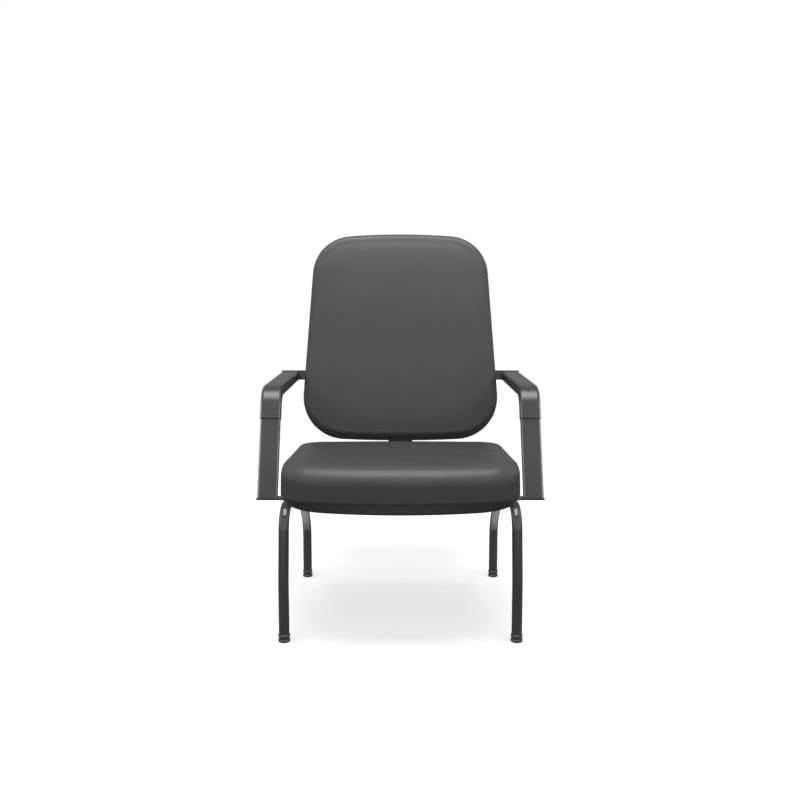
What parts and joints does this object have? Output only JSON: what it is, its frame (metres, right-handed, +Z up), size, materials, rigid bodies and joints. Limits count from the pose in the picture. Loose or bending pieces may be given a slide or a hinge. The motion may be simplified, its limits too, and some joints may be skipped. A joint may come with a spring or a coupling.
{
  "type": "four-leg office chair",
  "caption": "Wide padded visitor chair with a tall reclined back, bent tube side frames, fixed arms and levelling feet.",
  "frame": {"origin": "on the floor, in the middle of the bounding box", "axes": "+Z up, the chair faces -Y, +X to the right as seen from the front"},
  "size_m": [0.7626, 0.744, 1.0952],
  "materials": {
    "vinyl": "satin",
    "shell_plastic": "matte",
    "plywood": "matte",
    "gloss_black": "gloss",
    "satin_black": "satin",
    "arm_sleeve": "satin",
    "foot_plastic": "satin",
    "zinc": "satin"
  },
  "bodies": {
    "chair": {"arm_end_bolts": "zinc", "arm_post_screws": "zinc", "arm_tie_bar": "satin_black", "back_blade": "satin_black", "back_board": "plywood", "back_cushion": "vinyl", "back_shell": "shell_plastic", "back_shell_screws": "zinc", "back_tee_nuts": "zinc", "blade_bolts": "zinc", "frame_welds": "gloss_black", "front_cross_bar": "satin_black", "front_left_end_cap": "foot_plastic", "front_left_foot_bush": "zinc", "front_right_end_cap": "foot_plastic", "front_right_foot_bush": "zinc", "left_arm_end_plug": "zinc", "left_arm_sleeve": "arm_sleeve", "left_arm_tube": "satin_black", "left_post_plug": "zinc", "left_side_frame": "gloss_black", "rear_cross_bar": "satin_black", "rear_left_end_cap": "foot_plastic", "rear_left_foot_bush": "zinc", "rear_right_end_cap": "foot_plastic", "rear_right_foot_bush": "zinc", "right_arm_end_plug": "zinc", "right_arm_sleeve": "arm_sleeve", "right_arm_tube": "satin_black", "right_post_plug": "zinc", "right_side_frame": "gloss_black", "seat_board": "plywood", "seat_bolts": "zinc", "seat_cushion": "vinyl", "seat_shell": "shell_plastic", "seat_shell_screws": "zinc", "seat_tee_nuts": "zinc", "seat_washers": "zinc", "tie_bar_bolts": "zinc", "tie_bar_spacers": "zinc", "tie_bar_washers": "zinc"},
    "front_left_foot": {"front_left_foot_pad": "foot_plastic", "front_left_foot_stem": "zinc"},
    "front_right_foot": {"front_right_foot_pad": "foot_plastic", "front_right_foot_stem": "zinc"},
    "rear_left_foot": {"rear_left_foot_pad": "foot_plastic", "rear_left_foot_stem": "zinc"},
    "rear_right_foot": {"rear_right_foot_pad": "foot_plastic", "rear_right_foot_stem": "zinc"}
  },
  "joints": [
    {"name": "front_left_foot_screw", "type": "slide", "parent": "chair", "child": "front_left_foot", "axis": [0, 0, -1], "range_m": [0, 0.01]},
    {"name": "front_right_foot_screw", "type": "slide", "parent": "chair", "child": "front_right_foot", "axis": [0, 0, -1], "range_m": [0, 0.01]},
    {"name": "rear_left_foot_screw", "type": "slide", "parent": "chair", "child": "rear_left_foot", "axis": [0, 0, -1], "range_m": [0, 0.01]},
    {"name": "rear_right_foot_screw", "type": "slide", "parent": "chair", "child": "rear_right_foot", "axis": [0, 0, -1], "range_m": [0, 0.01]}
  ]
}
